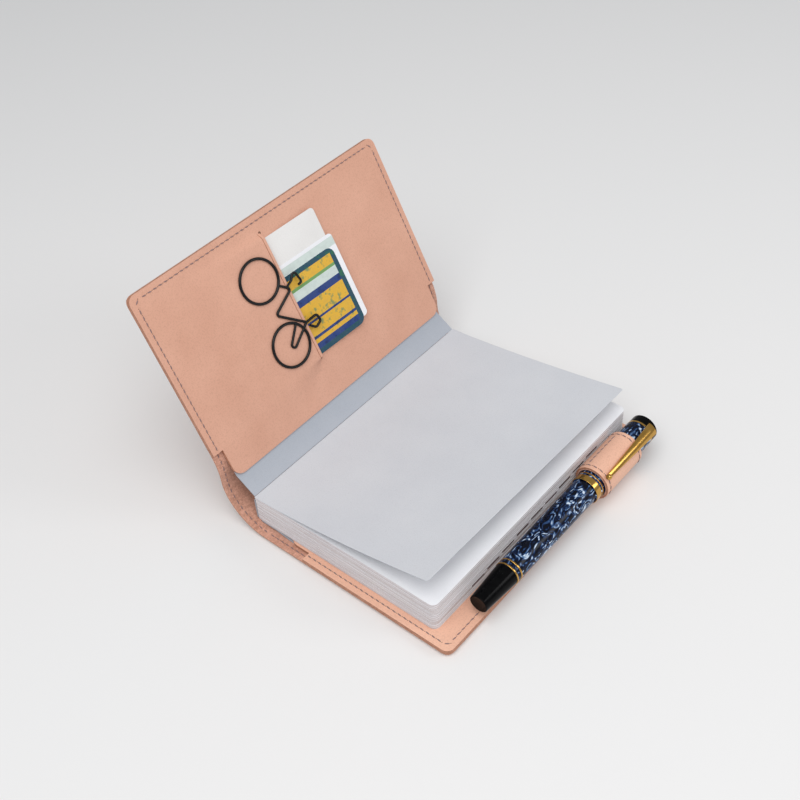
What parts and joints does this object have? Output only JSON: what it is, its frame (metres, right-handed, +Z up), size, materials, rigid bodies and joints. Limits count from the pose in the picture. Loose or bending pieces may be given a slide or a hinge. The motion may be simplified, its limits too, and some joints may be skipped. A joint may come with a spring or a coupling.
{
  "type": "leather notebook cover with pen loop",
  "caption": "Natural leather cover for a pocket notebook, standing open, with pages, flyleaf, cards in a slit pocket, a wire clip and a marbled fountain pen in a loop.",
  "frame": {"origin": "centre of the back cover's flat underside", "axes": "+X from the spine to the fore-edge of the back cover, +Y from the foot of the page to its head, +Z up from the table"},
  "size_m": [0.1803, 0.159, 0.1131],
  "materials": {
    "natural_leather": "satin",
    "thread": "matte",
    "white_paper": "matte",
    "grey_paper": "matte",
    "printed_card": "satin",
    "clip_wire": "satin",
    "marbled_resin": "gloss",
    "black_resin": "gloss",
    "liner_plastic": "satin",
    "gold_trim": "polished"
  },
  "bodies": {
    "back": {"back_shell": "natural_leather", "spine_shell": "natural_leather", "back_pocket": "natural_leather", "pen_loop": "natural_leather", "loop_lining": "natural_leather", "back_stitching": "thread", "spine_stitching": "thread", "loop_stitching": "thread", "notebook_back_cover": "grey_paper", "notebook_spine": "grey_paper", "page_section_1": "white_paper", "page_section_2": "white_paper", "page_section_3": "white_paper", "page_section_4": "white_paper", "page_section_5": "white_paper", "page_section_6": "white_paper", "page_section_7": "white_paper", "page_section_8": "white_paper"},
    "front": {"front_shell": "natural_leather", "front_pocket": "natural_leather", "front_stitching": "thread", "notebook_front_cover": "grey_paper"},
    "leaf": {"flyleaf": "grey_paper"},
    "note": {"note_slip": "white_paper"},
    "backing": {"backing_card": "white_paper"},
    "ticket": {"ticket_card": "printed_card"},
    "clip": {"wire_clip": "clip_wire"},
    "cap": {"pen_cap": "marbled_resin", "cap_band_wide": "gold_trim", "cap_band_thin": "gold_trim", "cap_clip": "gold_trim", "cap_finial": "black_resin", "inner_cap": "liner_plastic"},
    "section": {"section": "black_resin", "section_ring": "gold_trim", "nib": "gold_trim", "feed": "black_resin", "ink_cartridge": "liner_plastic"},
    "barrel": {"barrel": "marbled_resin", "barrel_rings": "gold_trim", "barrel_tail": "black_resin"}
  },
  "joints": [
    {"name": "cover_fold", "type": "hinge", "parent": "back", "child": "front", "pos_m": [-0.06223, 0, 0.0182], "axis": [0, 1, 0], "range_deg": [-67.5, 113.5], "deforming": ["spine_shell", "spine_stitching"]},
    {"name": "leaf_turn", "type": "hinge", "parent": "back", "child": "leaf", "pos_m": [-0.06223, 0, 0.0182], "axis": [0, 1, 0], "range_deg": [-4.1, 6.9]},
    {"name": "note_draw", "type": "slide", "parent": "front", "child": "note", "axis": [0.0468, 0.9986, 0.0234], "range_m": [0, 0.03]},
    {"name": "backing_draw", "type": "slide", "parent": "front", "child": "backing", "axis": [0.0468, 0.9986, 0.0234], "range_m": [0, 0.03]},
    {"name": "ticket_draw", "type": "slide", "parent": "front", "child": "ticket", "axis": [0.0468, 0.9986, 0.0234], "range_m": [0, 0.03]},
    {"name": "clip_draw", "type": "slide", "parent": "front", "child": "clip", "axis": [0.0468, 0.9986, 0.0234], "range_m": [0, 0.025]},
    {"name": "pen_draw", "type": "slide", "parent": "back", "child": "cap", "axis": [0, 1, 0], "range_m": [0, 0.125]},
    {"name": "uncap", "type": "slide", "parent": "cap", "child": "section", "axis": [0, -1, 0], "range_m": [0, 0.06]},
    {"name": "barrel_open", "type": "slide", "parent": "section", "child": "barrel", "axis": [0, -1, 0], "range_m": [0, 0.055]}
  ],
  "couplings": [
    {"joint": "leaf_turn", "follows": "cover_fold", "ratio": 0.06}
  ]
}
